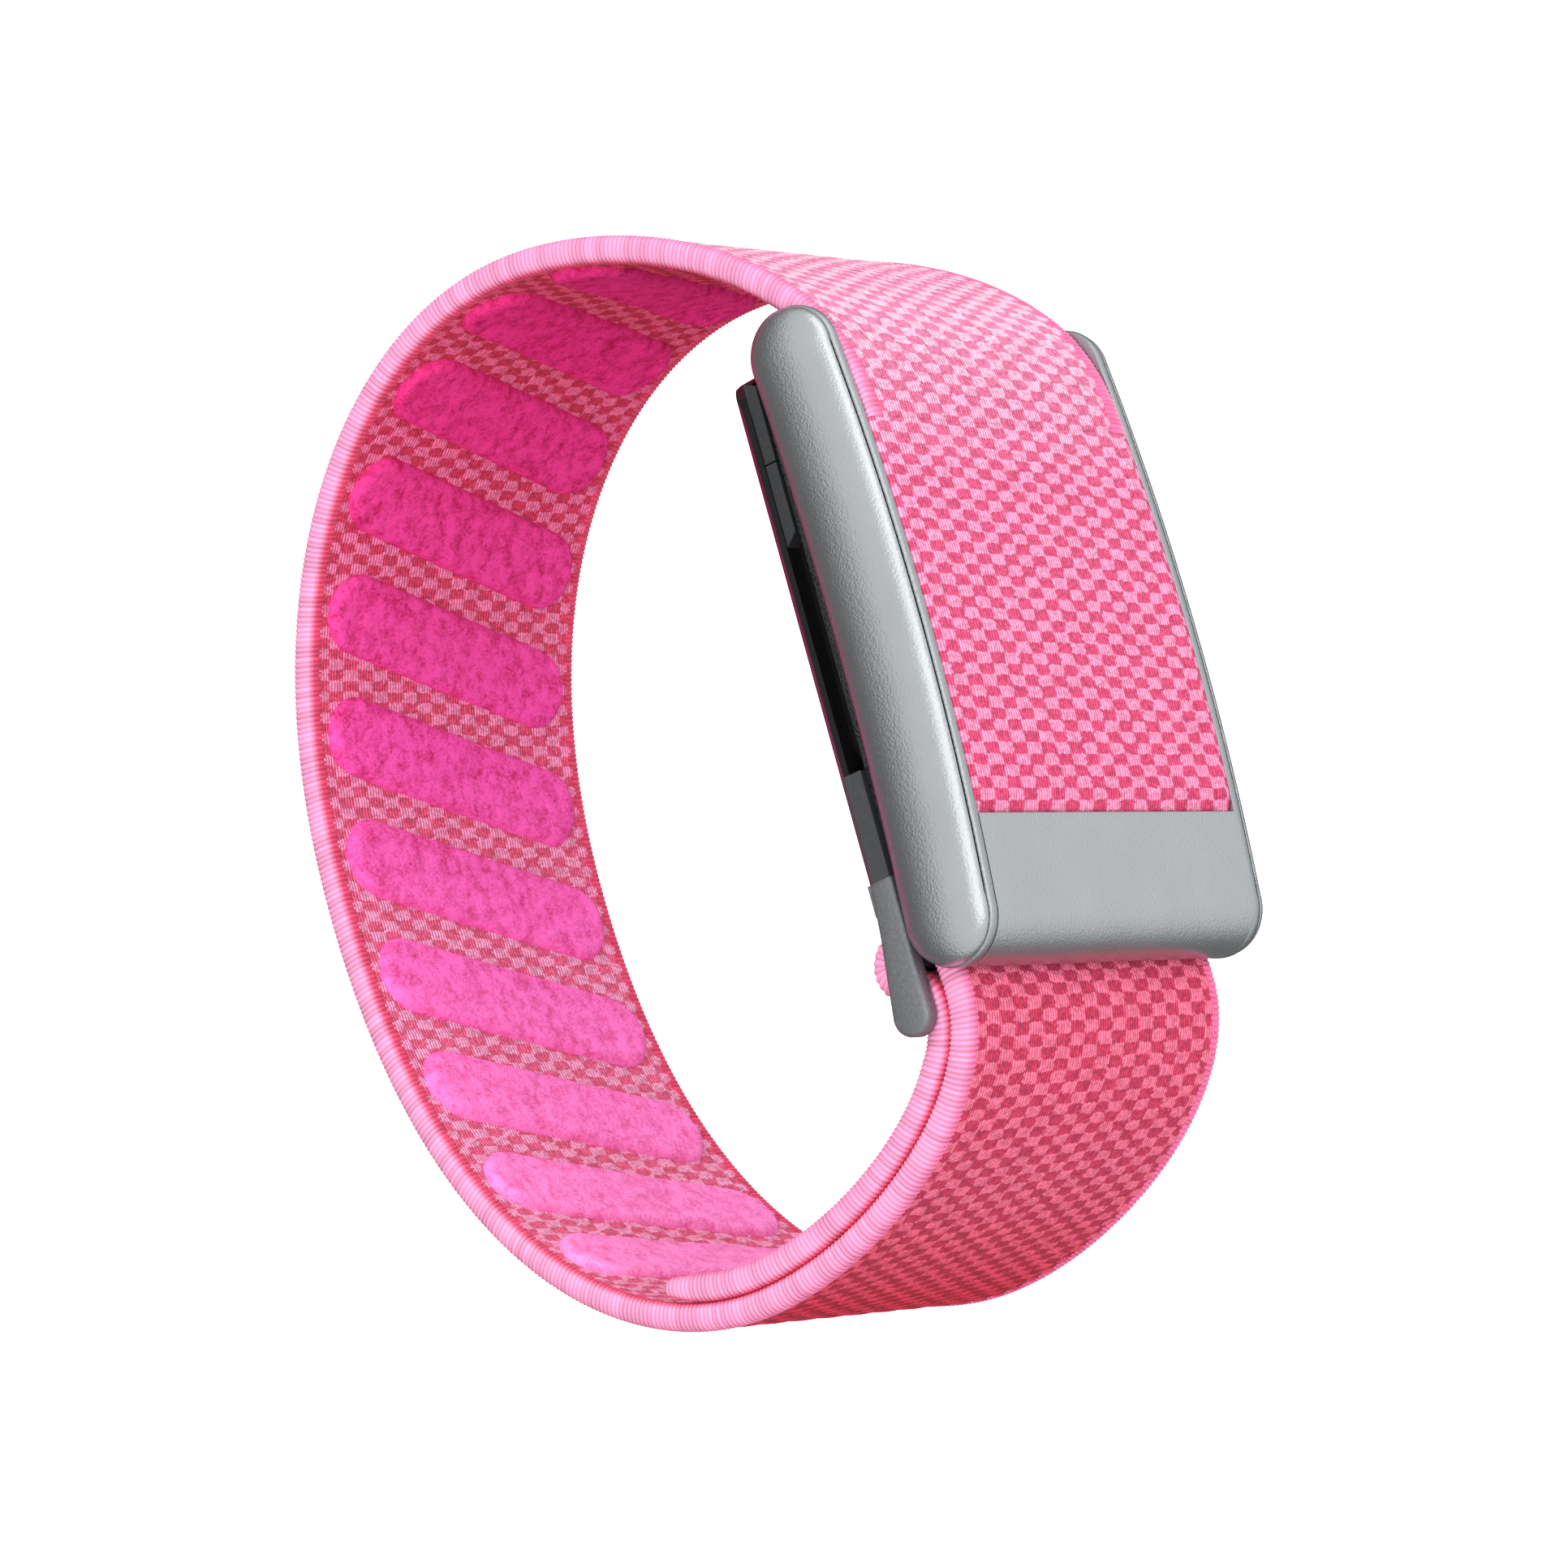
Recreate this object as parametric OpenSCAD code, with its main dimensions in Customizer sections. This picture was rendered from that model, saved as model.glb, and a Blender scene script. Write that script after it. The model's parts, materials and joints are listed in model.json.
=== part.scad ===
// Screenless fitness tracker on a knit wrist strap, closed as worn.
// Millimetres. X runs from the hinge to the buckle, Y along the wrist, Z out of the wrist.
// The origin is on the wrist's axis, under the middle of the clasp, at the loop's widest level.

/* [Strap] */
// Width of the knit strap, edge to edge
band_w = 24; // [20:0.5:29]
// Thickness of the knit strap
band_t = 1.5; // [1.2:0.05:1.6]
// Reach of the strap's middle line past the rails' hinge end
back_past = 10.3; // [8.8:0.1:16]
// Reach of the strap's middle line past the rails' buckle end
front_past = 13.1; // [10:0.1:19]
// Depth of the strap's middle line under the widest level
loop_drop = 21.9; // [17:0.1:27]
// How far under the widest level the folded-back tail ends
tail_drop = 5; // [0:0.5:9]
// Width of one grip pad, along the strap
pad_w = 5; // [4:0.1:6]
// Thickness of one grip pad
pad_t = 0.5; // [0.3:0.05:0.8]
// Distance from one grip pad to the next, along the strap
pad_pitch = 7.55; // [6.6:0.05:10]

/* [Clasp] */
// Length of the clasp's side rails
rail_l = 38.4; // [35:0.2:46.2]
// Height of the rails' upper rim at mid-length, over the widest level
rim_z = 25.5; // [25.2:0.1:26]
// Height of the rails at mid-length
rail_h = 6; // [5.8:0.1:6.2]
// Thickness of the thin rim plate of each rail
rim_t = 0.65; // [0.5:0.05:0.8]
// Thickness of the domed cover on each rail
dome_t = 1.35; // [1.1:0.05:1.8]
// Radius of the clasp's long crown
crown_r = 160; // [130:5:220]
// Length of the front plate, from its upper edge to the rails' tip
plate_l = 7.7; // [6.4:0.1:8.4]
// Wall of the front plate
plate_wall = 0.8; // [0.6:0.05:0.9]

/* [Pod] */
// Level of the pod's wrist face over the widest level
pod_z = 16; // [15.6:0.1:16.4]
// Side wall of the pod, above the flange
wall = 1.3; // [1:0.1:1.6]
// Floor and roof thickness of the pod
floor_t = 1; // [0.8:0.1:1.1]
// Length of the sensor window along the pod
window_l = 10.5; // [8.5:0.1:12.6]
// Width of the sensor window across the pod
window_w = 10; // [8.6:0.1:12]
// How far the sensor window stands proud of the wrist face
window_bump = 0.9; // [0.5:0.1:1.2]
// Length of the battery cell
cell_l = 14; // [11:0.1:16.8]

/* [Hinge and buckle] */
// Radius of the two hinge pins
pin_r = 0.45; // [0.35:0.05:0.5]
// Radial clearance of a hinge pin in the carrier's bore
pin_clear = 0.03; // [0.01:0.01:0.08]
// Reach of the buckle arms past the end cap
arm_l = 8.7; // [8:0.1:9.6]
// Thickness of the bar that the strap folds round
bar_t = 0.7; // [0.5:0.05:0.8]

/* [Hidden] */
$fn = 48;

// Clearances
slide_gap = 0.1;      // strap edge to a rail or to a buckle arm
run_gap = 0.2;        // pod side to a clasp rail, on two different bodies
skin_gap = 0.3;       // strap's underside to the pod's crown, on two different bodies
cap_gap = 0.28;       // rivet heads to the end cap's top, on two different bodies
layer_gap = 0.15;     // the folded-back tail to the outer layer
fit_gap = 0.03;       // an inserted piece in its hole
seat_gap = 0.15;      // between stacked pieces inside the pod

// Widths across the wrist, from the strap outwards
rail_in = band_w / 2 + slide_gap;
rail_mid = rail_in + rim_t;
rail_out = rail_mid + dome_t;
pod_half = rail_in - run_gap;
arm_t = 0.9;
arm_in = band_w / 2 + slide_gap;
base_half = arm_in + arm_t;

// Heights and lengths along the clasp
low_z = rim_z - rail_h;
low_r = 250;                                     // radius of the rails' hollow lower edge
end_r = (rim_z - low_z - arc_drop(rail_l / 2 - 3, crown_r) + arc_drop(rail_l / 2 - 3, low_r)) / 2;
end_x = rail_l / 2 - end_r;
end_z = low_z - arc_drop(end_x, low_r) + end_r;
band_z = rim_z;                                  // strap's middle line over the pod, at its crown
roof_z = band_z - band_t / 2 - skin_gap;         // pod's roof at its crown
flange_z = end_z - end_r - 0.95;                 // top of the pod's flange
strip_z = flange_z + 0.8;                        // top of the carrier's arms, under the rails
seal_z = flange_z + 0.65;                        // joint between the pod's shells
seal_t = 0.3;
hinge_x = -end_x;
hinge_z = end_z;
knuckle_r = pin_r + 0.35;
plate_x = rail_l / 2 - plate_l;
cap_x = plate_x + 1.6;                           // end cap's outer face
cap_l = 6.2;
shell_x = cap_x - cap_l;                         // seam between the shells and the end cap
back_x = hinge_x + 2.5;                          // pod's upper shell begins here
base_x = hinge_x - 0.7;                          // pod's lower shell begins here
tab_x = plate_x - 3;
tab_end = plate_x + 2.6;                         // end of the tab under the front plate
tab_z = mix(end_z + end_r, rim_z, 1 - pow(tab_end / end_x, 2)) - plate_wall;
head_drop = 0.75;                                // rivet heads reach this far under the tab's top
cap_top = tab_z - head_drop - cap_gap;
cavity_y = pod_half - wall;
cavity_x0 = back_x + wall;
cavity_x1 = shell_x - wall;
bay_z = pod_z + floor_t;                         // floor of the electronics bay
bay_x = (cavity_x0 + cavity_x1) / 2;
window_x = bay_x - 0.5;
contact_x = window_x - window_l / 2 - 1.2;
temp_x = window_x + window_l / 2 + 2;
board_t = 0.5;
sensor_z = bay_z + 1.05;
main_z = sensor_z + board_t + 0.4;
can_z = main_z + board_t;
can_h = 0.9;
cell_z = can_z + can_h + seat_gap;
bay_top = roof_z - floor_t - arc_drop(back_x, crown_r);
cell_top = bay_top - seat_gap;

// The strap's middle line: four Bezier curves that meet where the loop runs straight up or across,
// then the turn through the buckle, the fold round the bar and the tail inside the loop
level = 1;                                       // height of the loop's widest points
loop_back = rail_l / 2 + back_past;
loop_front = rail_l / 2 + front_past;
shoulder_x = hinge_x + 4.35;                     // the strap leaves the clasp's crown here
bar_x = cap_x + 4.55;
bar_z = flange_z - 1.05;
fold_r = bar_t / 2 + 0.05 + band_t / 2;
slot_x = bar_x + 2.5;
slot_z = end_z - 1.7;
tail_off = band_t + layer_gap;
STEPS = 20;

function arc_drop(x, r) = r - sqrt(r * r - x * x);
function mix(a, b, u) = a + (b - a) * u;
function bezier(a, b, c, d) = [for (i = [1:STEPS])
    let (u = i / STEPS, v = 1 - u)
    v * v * v * a + 3 * v * v * u * b + 3 * v * u * u * c + u * u * u * d];
function crown(x0, x1, n) = [for (i = [0:n])
    let (x = mix(x0, x1, i / n))
    [x, band_z - arc_drop(x, crown_r)]];
function tangent(p, i) =
    let (a = p[max(i - 1, 0)], b = p[min(i + 1, len(p) - 1)], d = b - a)
    d / norm(d);
function beside(p, off) = [for (i = [0:len(p) - 1])
    let (t = tangent(p, i))
    p[i] + off * [t[1], -t[0]]];
function backwards(p) = [for (i = [len(p) - 1:-1:0]) p[i]];
function ribbon(p, a, b) = concat(beside(p, a), backwards(beside(p, b)));
function ray_angle(p) = (atan2(p[1] - hinge_z, p[0] - hinge_x) + 360) % 360;
function lengths(p, i = 0, s = 0, out = []) = i == len(p) ? out :
    let (t = i == 0 ? 0 : s + norm(p[i] - p[i - 1]))
    lengths(p, i + 1, t, concat(out, [t]));
function place(p, s, want, i = 1) = i == len(p) - 1 || s[i] >= want ?
    mix(p[i - 1], p[i], (want - s[i - 1]) / (s[i] - s[i - 1])) :
    place(p, s, want, i + 1);
function heading(p, s, want, i = 1) = i == len(p) - 1 || s[i] >= want ?
    let (d = p[i] - p[i - 1]) atan2(d[1], d[0]) :
    heading(p, s, want, i + 1);

shoulder = [shoulder_x, band_z - arc_drop(shoulder_x, crown_r)];
lean = asin(-shoulder_x / crown_r);
back = [-loop_back, level];
bottom = [0, -loop_drop];
front = [loop_front, level];
slot = [slot_x, slot_z];
drop = level + loop_drop;
LOOP = concat(
    [shoulder],
    bezier(shoulder, shoulder - 10 * [cos(lean), sin(lean)], back + [0, 9.5], back),
    bezier(back, back - [0, 0.51 * drop], bottom - [0.64 * loop_back, 0], bottom),
    bezier(bottom, bottom + [0.7 * loop_front, 0], front - [0, 0.45 * drop], front),
    bezier(front, front + [0, 8.4], slot + [6.5, 0], slot));
TURN = bezier(slot, slot - [2.8, 0], [bar_x - fold_r, bar_z + 2.7], [bar_x - fold_r, bar_z + 0.3]);
FOLD = [for (a = [180:15:360]) [bar_x + fold_r * cos(a), bar_z + fold_r * sin(a)]];
INSIDE = backwards([for (q = beside([for (p = LOOP) if (p[0] > 0) p], -tail_off))
    if (q[1] > -tail_drop && q[1] < bar_z + 0.2) q]);
RISE = bezier([bar_x + fold_r, bar_z], [bar_x + fold_r, bar_z + 2],
    INSIDE[0] + [-1.9, 1.75], INSIDE[0]);
WRAP = concat([for (p = LOOP) if (p[0] > hinge_x || ray_angle(p) > 190) if (p[1] < hinge_z) p],
    TURN, FOLD, [for (i = [0:STEPS - 2]) RISE[i]], INSIDE);
FRONT = concat(crown(plate_x - slide_gap, shoulder_x, 12),
    [for (i = [1:STEPS]) if (ray_angle(LOOP[i]) < 135) LOOP[i]]);

// Everything in the XZ outline is drawn flat and extruded across the wrist
module across(half) {
    rotate([90, 0, 0]) linear_extrude(2 * half, center = true) children();
}

// Extrudes an XZ outline between two distances from the middle, on one side (-1 near, 1 far)
module beside_pod(y0, y1, side) {
    translate([0, side * (y0 + y1) / 2, 0])
        rotate([90, 0, 0]) linear_extrude(y1 - y0, center = true) children();
}

module box(x0, x1, y0, y1, z0, z1) {
    translate([x0, y0, z0]) cube([x1 - x0, y1 - y0, z1 - z0]);
}

module mid_box(x0, x1, half, z0, z1) {
    box(x0, x1, -half, half, z0, z1);
}

// Upright block with round corners in plan
module soft_box(x0, x1, half, r, z0, z1) {
    corners = [[x1 - r, half - r, 0], [x0 + r, half - r, 90], [x0 + r, r - half, 180],
        [x1 - r, r - half, 270]];
    translate([0, 0, z0]) linear_extrude(z1 - z0)
        polygon([for (c = corners, a = [0:15:90])
            [c[0] + r * cos(c[2] + a), c[1] + r * sin(c[2] + a)]]);
}

// Outline of a rail, drawn in by an inset
module rail_outline(inset) {
    r = end_r - inset;
    top = [for (i = [0:12])
        let (x = mix(-end_x, end_x, i / 12))
        [x, mix(end_z + r, rim_z - inset, 1 - pow(x / end_x, 2))]];
    tip = [for (a = [75:-15:-75]) [end_x + r * cos(a), end_z + r * sin(a)]];
    under = [for (i = [0:12])
        let (x = mix(end_x, -end_x, i / 12))
        [x, mix(end_z - r, low_z + inset, 1 - pow(x / end_x, 2))]];
    heel = [for (a = [255:-15:105]) [r * cos(a) - end_x, end_z + r * sin(a)]];
    polygon(concat(top, tip, under, heel));
}

// The crown of the pod's roof: everything under a long cylinder across the pod
module under_crown(top) {
    translate([0, 0, top - crown_r]) rotate([90, 0, 0])
        cylinder(r = crown_r, h = 4 * base_half, center = true, $fn = 720);
}

// ---- Pod ----

module base_block(x1) {
    x0 = base_x;
    intersection() {
        soft_box(x0, x1 + 4, base_half, 3, pod_z, flange_z);
        rotate([90, 0, 90]) linear_extrude(2 * rail_l, center = true)
            polygon([[base_half, flange_z], [base_half, pod_z + 1.6], [base_half - 0.5, pod_z + 1],
                [base_half - 1.5, pod_z + 0.45], [base_half - 3.5, pod_z],
                [3.5 - base_half, pod_z], [1.5 - base_half, pod_z + 0.45],
                [0.5 - base_half, pod_z + 1], [-base_half, pod_z + 1.6], [-base_half, flange_z]]);
        across(2 * base_half)
            polygon([[x0, flange_z], [x0, pod_z + 1.5], [x0 + 0.4, pod_z + 0.8],
                [x0 + 1.1, pod_z + 0.25], [x0 + 2, pod_z], [x1, pod_z], [x1, flange_z]]);
    }
}

module lower_case() {
    color("#17181a") difference() {
        union() {
            base_block(shell_x);
            soft_box(base_x, shell_x, pod_half, 2, flange_z - 0.5, seal_z);
        }
        mid_box(cavity_x0, cavity_x1, cavity_y, bay_z, seal_z + 1);
        mid_box(window_x - window_l / 2 - fit_gap, window_x + window_l / 2 + fit_gap,
            window_w / 2 + fit_gap, pod_z - 1, bay_z + 1);
        contact_rods(0.6 + fit_gap);
        temp_rod(1.3 + fit_gap);
        box(shell_x, shell_x + 9, -30, 30, pod_z - 1, seal_z + 1);
    }
}

module upper_case() {
    color("#0f1012") difference() {
        intersection() {
            soft_box(back_x, shell_x + 3, pod_half, 2, seal_z + seal_t, rim_z);
            under_crown(roof_z);
        }
        mid_box(cavity_x0, cavity_x1, cavity_y, seal_z, bay_top);
        box(shell_x, shell_x + 9, -30, 30, pod_z, rim_z + 1);
        mid_box(tab_x - 1, shell_x + 1, pod_half + 1, cap_top, rim_z + 1);
    }
}

module case_gasket() {
    color("#3a3a3c") difference() {
        soft_box(back_x, shell_x + 3, pod_half - 0.3, 2, seal_z, seal_z + seal_t);
        mid_box(cavity_x0, cavity_x1, cavity_y, seal_z - 1, seal_z + 1);
        box(shell_x, shell_x + 9, -30, 30, pod_z, rim_z);
    }
}

module end_cap() {
    x1 = cap_x;
    color("#3b3c3e") difference() {
        union() {
            intersection() {
                mid_box(shell_x, x1, base_half, pod_z, strip_z);
                rotate([90, 0, 90]) linear_extrude(2 * rail_l, center = true)
                    polygon([[base_half, strip_z], [base_half, pod_z + 1.6],
                        [base_half - 0.5, pod_z + 1], [base_half - 1.5, pod_z + 0.45],
                        [base_half - 3.5, pod_z], [3.5 - base_half, pod_z],
                        [1.5 - base_half, pod_z + 0.45], [0.5 - base_half, pod_z + 1],
                        [-base_half, pod_z + 1.6], [-base_half, strip_z]]);
            }
            mid_box(shell_x, x1, pod_half, strip_z - 0.1, cap_top);
        }
        mid_box(shell_x - 1, x1 - 1, cavity_y, strip_z + 0.3, cap_top - 0.8);
        screw_rods(0.45, 0);
    }
}

module contact_rods(r) {
    for (i = [-1.5:1:1.5])
        translate([contact_x, 3 * i, pod_z - 0.1]) cylinder(r = r, h = floor_t + 0.6);
}

module temp_rod(r) {
    translate([temp_x, 0, pod_z - 0.1]) cylinder(r = r, h = floor_t + 0.5);
}

module sensor_window() {
    color("#1c2a26") soft_box(window_x - window_l / 2, window_x + window_l / 2, window_w / 2, 1,
        pod_z - window_bump, bay_z);
}

// Where the lights and the receivers look through the window
module led_places() {
    for (i = [-1:1]) translate([window_x, 3 * i, bay_z]) children();
}

module diode_places() {
    for (x = [-3.6, 3.6], y = [-2.2, 2.2]) translate([window_x + x, y, bay_z]) children();
}

module light_baffle() {
    color("#202020") difference() {
        soft_box(window_x - window_l / 2, window_x + window_l / 2, window_w / 2, 1,
            bay_z, bay_z + 0.8);
        led_places() cube([2.2, 2.2, 4], center = true);
        diode_places() cube([3, 3, 4], center = true);
    }
}

module sensor_leds() {
    color("#d8ffe0") led_places() translate([-0.8, -0.8, 0.55]) cube([1.6, 1.6, 0.5]);
}

module photodiodes() {
    color("#2c3440") diode_places() translate([-1.2, -1.2, 0.6]) cube([2.4, 2.4, 0.45]);
}

module inner_frame() {
    color("#2a2b2d") difference() {
        mid_box(cavity_x0 + seat_gap, cavity_x1 - seat_gap, cavity_y - seat_gap, bay_z, sensor_z);
        mid_box(window_x - window_l / 2 - 0.3, window_x + window_l / 2 + 0.3,
            window_w / 2 + 0.3, bay_z - 1, sensor_z + 1);
        contact_rods(0.9);
        temp_rod(1.5);
    }
}

module sensor_board() {
    color("#1f5a3a") mid_box(cavity_x0 + 0.4, cavity_x1 - 0.4, cavity_y - 0.4,
        sensor_z, sensor_z + board_t);
}

module main_chips() {
    z0 = sensor_z + board_t;
    color("#26272a") {
        box(bay_x - 5, bay_x - 1, -4, 0, z0, main_z);
        box(bay_x + 1, bay_x + 4, -3, 1, z0, main_z);
        box(bay_x - 4, bay_x - 1.5, 2.5, 5.5, z0, main_z);
        box(bay_x + 1.5, bay_x + 5, 3, 6.5, z0, main_z);
    }
}

module main_board() {
    color("#1d5c40") mid_box(cavity_x0 + seat_gap, cavity_x1 - 0.6, cavity_y - 0.6, main_z, can_z);
}

module shield_can() {
    half = cavity_y - 1.8;
    color("#c9cbcd") difference() {
        mid_box(bay_x - 6, bay_x + 6, half, can_z, can_z + can_h);
        mid_box(bay_x - 5.8, bay_x + 5.8, half - 0.2, can_z - 1, can_z + can_h - 0.2);
    }
}

module battery_cell() {
    color("#b9bcc0") soft_box(bay_x - cell_l / 2, bay_x + cell_l / 2, cavity_y - 0.5, 0.8,
        cell_z, cell_top);
}

// The cell's lead drops to the main board at the hinge end
module battery_flex() {
    x1 = bay_x - cell_l / 2;
    color("#c98b2b") {
        box(x1 - 0.5, x1, -2, 2, cell_z + 0.5, cell_z + 0.7);
        box(x1 - 0.5, x1 - 0.3, -2, 2, can_z, cell_z + 0.7);
    }
}

module haptic_motor() {
    color("#9a9ca0") box(shell_x + 0.6, cap_x - 1.8, -8, 2, strip_z + 0.3, strip_z + 2.6);
}

module antenna() {
    z0 = strip_z + 0.3;
    color("#c98b2b") {
        mid_box(cap_x - 1.2, cap_x - 1, cavity_y - 1, z0, cap_top - 1.2);
        box(shell_x + 0.6, cap_x - 1.2, 4, 7, z0, z0 + 0.2);
    }
}

module charge_contacts() {
    color("#d9b45a") contact_rods(0.6);
}

module skin_temp_sensor() {
    color("#c8cacc") temp_rod(1.3);
}

// ---- Hinge side ----

// Carrier: a cross block that takes the hinge pins, and two arms that grip the pod's flange
module hinge_carrier() {
    color("#4a4d50") difference() {
        union() {
            mid_box(hinge_x - knuckle_r, back_x - 0.1, pod_half, seal_z, hinge_z);
            translate([hinge_x, 0, hinge_z]) rotate([90, 0, 0])
                cylinder(r = knuckle_r, h = 2 * pod_half, center = true);
            mid_box(hinge_x, back_x - 0.1, pod_half, hinge_z - 0.1, hinge_z + knuckle_r);
            for (side = [-1, 1])
                beside_pod(pod_half, base_half - 0.1, side)
                    polygon([[hinge_x + 0.2, flange_z], [hinge_x + 5, flange_z],
                        [hinge_x + 5, strip_z], [hinge_x + 0.6, strip_z]]);
        }
        for (side = [-1, 1])
            translate([hinge_x, side * (pod_half - 0.9), hinge_z]) rotate([90, 0, 0])
                cylinder(r = pin_r + pin_clear, h = 2.2, center = true);
    }
}

// Two springy tongues on the carrier's arms, slanted at their tips, that click on the flange
module snap_tongues() {
    x0 = hinge_x + 5.1;
    x1 = x0 + 4.8;
    color("#55585b") for (side = [-1, 1])
        beside_pod(pod_half, base_half - 0.1, side)
            polygon([[x0, flange_z], [x1, flange_z], [x1 - 0.7, strip_z], [x0, strip_z]]);
}

// ---- Buckle ----

module arm_outline() {
    x0 = cap_x;
    x1 = cap_x + arm_l;
    z1 = strip_z;
    r = 1.15;
    polygon(concat(
        [[x0, z1], [x0, flange_z - 0.55], [x0 + 3, flange_z - 0.85], [x1 - r, z1 - 2 * r]],
        [for (a = [-75:15:75]) [x1 - r + r * cos(a), z1 - r + r * sin(a)]],
        [[x1 - r, z1]]));
}

// Screw holes through the buckle's cross piece into the end cap
module screw_rods(r, head) {
    for (y = [-8, 8]) translate([cap_x - 2.8, y, flange_z - 0.1]) rotate([0, 90, 0]) {
        cylinder(r = r, h = 4.6);
        if (head > 0) translate([0, 0, 4.2]) cylinder(r = head, h = 0.4);
    }
}

module buckle_frame() {
    color("#6f7477") difference() {
        union() {
            mid_box(cap_x, cap_x + 1.8, base_half, flange_z - 0.85, strip_z);
            for (side = [-1, 1]) beside_pod(arm_in, base_half, side) arm_outline();
        }
        screw_rods(0.45, 0);
        for (y = [-8, 8]) translate([cap_x + 1.4, y, flange_z - 0.1]) rotate([0, 90, 0])
            cylinder(r = 0.8, h = 1);
        across(arm_in + 0.5) bar_outline(fit_gap);
    }
}

module buckle_screws() {
    color("#8b8e91") screw_rods(0.45, 0.75);
}

module bar_outline(grow) {
    h = bar_t / 2 + grow;
    polygon(concat([for (a = [180:15:360]) [bar_x + h * cos(a), bar_z + h * sin(a)]],
        [[bar_x + h, bar_z + 1.1 + grow], [bar_x - h, bar_z + 1.1 + grow]]));
}

module strap_bar() {
    color("#7b7f82") across(arm_in + 0.5) bar_outline(0);
}

// ---- Strap ----

module strap_loop() {
    color("#ea5c8c") across(band_w / 2) polygon(ribbon(WRAP, -band_t / 2, band_t / 2));
}

module strap_front() {
    color("#f27aa3") across(band_w / 2) polygon(ribbon(FRONT, -band_t / 2, band_t / 2));
}

// Slanted pads on the loop's inner face, evenly spaced from the hinge side to the tail's end
pad_first = 28.9;
pad_l = band_w - 2.2;
pad_slant = 15;

module grip_pads() {
    bare = [for (p = LOOP) if (p[0] < 0 || p[1] < -tail_drop - 1.5) p];
    run = lengths(bare);
    for (s = [pad_first:pad_pitch:run[len(run) - 1] - pad_w / 2]) {
        p = place(bare, run, s);
        h = heading(bare, run, s);
        color("#e0359b") intersection() {
            across(band_w / 2) polygon(ribbon(bare, -band_t / 2 - pad_t, -band_t / 2));
            translate([p[0], 0, p[1]]) rotate([0, -h, 0]) rotate([0, 0, 90 - pad_slant]) {
                cube([pad_l - pad_w, pad_w, 6], center = true);
                for (e = [-1, 1]) translate([e * (pad_l - pad_w) / 2, 0, 0])
                    cylinder(r = pad_w / 2, h = 6, center = true);
            }
        }
    }
}

// Thin hook patch on the tail's outer side, facing the loop
module hook_patch() {
    tail = [for (p = INSIDE) if (p[1] < 6 - tail_drop) p];
    color("#c2185b") across(band_w / 2 - 2.5)
        polygon(ribbon(tail, fit_gap - band_t / 2 - layer_gap, -band_t / 2));
}

// ---- Clasp ----

module rim_plate(side) {
    difference() {
        beside_pod(rail_in, rail_mid, side) rail_outline(0);
        hinge_rods(pin_r, rail_mid + 1);
        frame_rods(0.4);
    }
}

module frame_left() {
    color("#8d9194") rim_plate(-1);
}

module frame_right() {
    color("#8d9194") rim_plate(1);
}

// Domed cover of a rail, with the groove that parts it from the rim plate
module cover(side) {
    step = dome_t / 3;
    difference() {
        union() {
            beside_pod(rail_mid, rail_mid + step, side) rail_outline(0.2);
            beside_pod(rail_mid + step, rail_mid + 2 * step, side) rail_outline(0.6);
            beside_pod(rail_mid + 2 * step, rail_out, side) rail_outline(1.3);
        }
        hinge_rods(pin_r, rail_mid + 0.6);
        frame_heads(0.85);
    }
}

module cover_left() {
    color("#8a8e90") cover(-1);
}

module cover_right() {
    color("#8a8e90") cover(1);
}

module hinge_rods(r, reach) {
    for (side = [-1, 1])
        translate([hinge_x, side * (pod_half - 1.1 + reach) / 2, hinge_z]) rotate([90, 0, 0])
            cylinder(r = r, h = reach - pod_half + 1.1, center = true);
}

module hinge_pins() {
    color("#b5b8ba") hinge_rods(pin_r, rail_mid + 0.6);
}

// Screws through the rim plates into the front plate's end bosses, under the covers
module screw_spots() {
    for (side = [-1, 1], x = [end_x - 1.2, end_x + 0.9])
        translate([x, side * rail_mid, end_z + 0.9]) rotate([side * -90, 0, 0]) children();
}

module frame_rods(r) {
    screw_spots() translate([0, 0, -2]) cylinder(r = r, h = 2);
}

module frame_heads(r) {
    screw_spots() cylinder(r = r, h = 0.4);
}

module frame_screws() {
    color("#8b8e91") {
        frame_rods(0.4);
        frame_heads(0.75);
    }
}

// Plate across the buckle end: follows the rails' outline over the top and round the tip
module front_plate() {
    w = plate_wall;
    r = end_r;
    top = [for (i = [0:8])
        let (x = mix(plate_x, end_x, i / 8))
        [x, mix(end_z + r, rim_z, 1 - pow(x / end_x, 2))]];
    tip = [for (a = [75:-15:0]) [end_x + r * cos(a), end_z + r * sin(a)]];
    lip = [[end_x + r - 0.1, end_z - 0.4], [end_x + 0.6, end_z - 0.4],
        [end_x + 0.6, end_z + w - 0.4], [end_x + r - w, end_z + w - 0.4]];
    inner = [for (a = [15:15:75]) [end_x + (r - w) * cos(a), end_z + (r - w) * sin(a)]];
    under = [for (i = [8:-1:0])
        let (x = mix(plate_x, end_x, i / 8))
        [x, mix(end_z + r, rim_z, 1 - pow(x / end_x, 2)) - w]];
    color("#9b9ea0") difference() {
        union() {
            across(rail_in) polygon(concat(top, tip, lip, inner, under));
            for (side = [-1, 1]) beside_pod(rail_in - 1.4, rail_in, side)
                polygon([[end_x - 1.9, end_z + 0.2], [end_x + 1.6, end_z + 0.2],
                    [end_x + 1.6, end_z + r - 1.2], [end_x - 1.9, end_z + r - 0.4]]);
        }
        frame_rods(0.4);
        rivet_rods(0.4);
    }
}

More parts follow.
